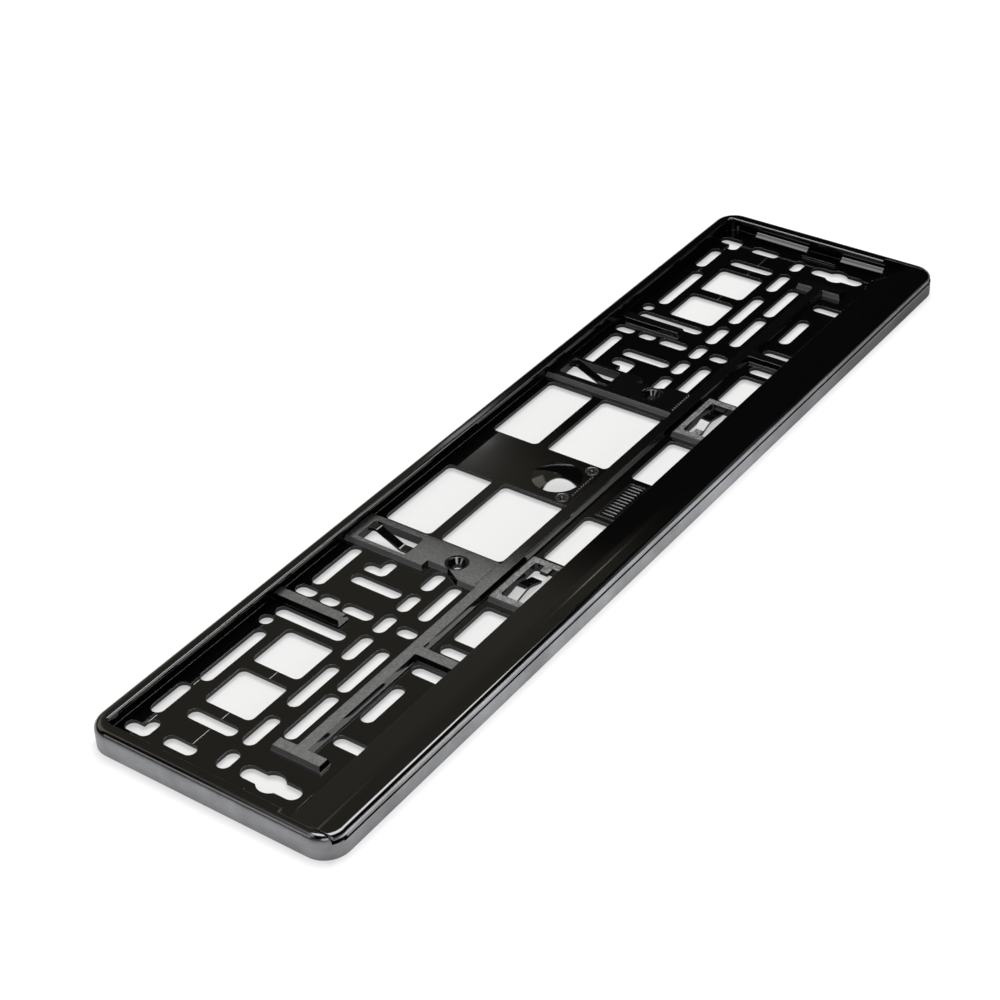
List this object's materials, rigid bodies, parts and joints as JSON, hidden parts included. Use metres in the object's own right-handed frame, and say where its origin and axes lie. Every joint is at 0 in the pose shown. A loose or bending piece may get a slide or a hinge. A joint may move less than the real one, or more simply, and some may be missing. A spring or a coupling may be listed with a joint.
{
  "type": "number plate holder",
  "caption": "Shallow tray that holds a long car number plate: lipped rim on three sides, slotted floor with raised ribs and leaf springs, and a clip-in front strip.",
  "frame": {"origin": "middle of the bottom face, at the back edge of the rim", "axes": "+X along the plate, +Y from the front strip to the plain long side, +Z out of the plate's face"},
  "size_m": [0.53, 0.133, 0.0115],
  "materials": {
    "frame_plastic": "moulded black ABS, polished faces and a fine grain on the outer wall",
    "strip_plastic": "moulded black ABS, polished"
  },
  "bodies": {
    "root": {"backing_frame": "frame_plastic", "front_strip": "strip_plastic"}
  },
  "joints": []
}
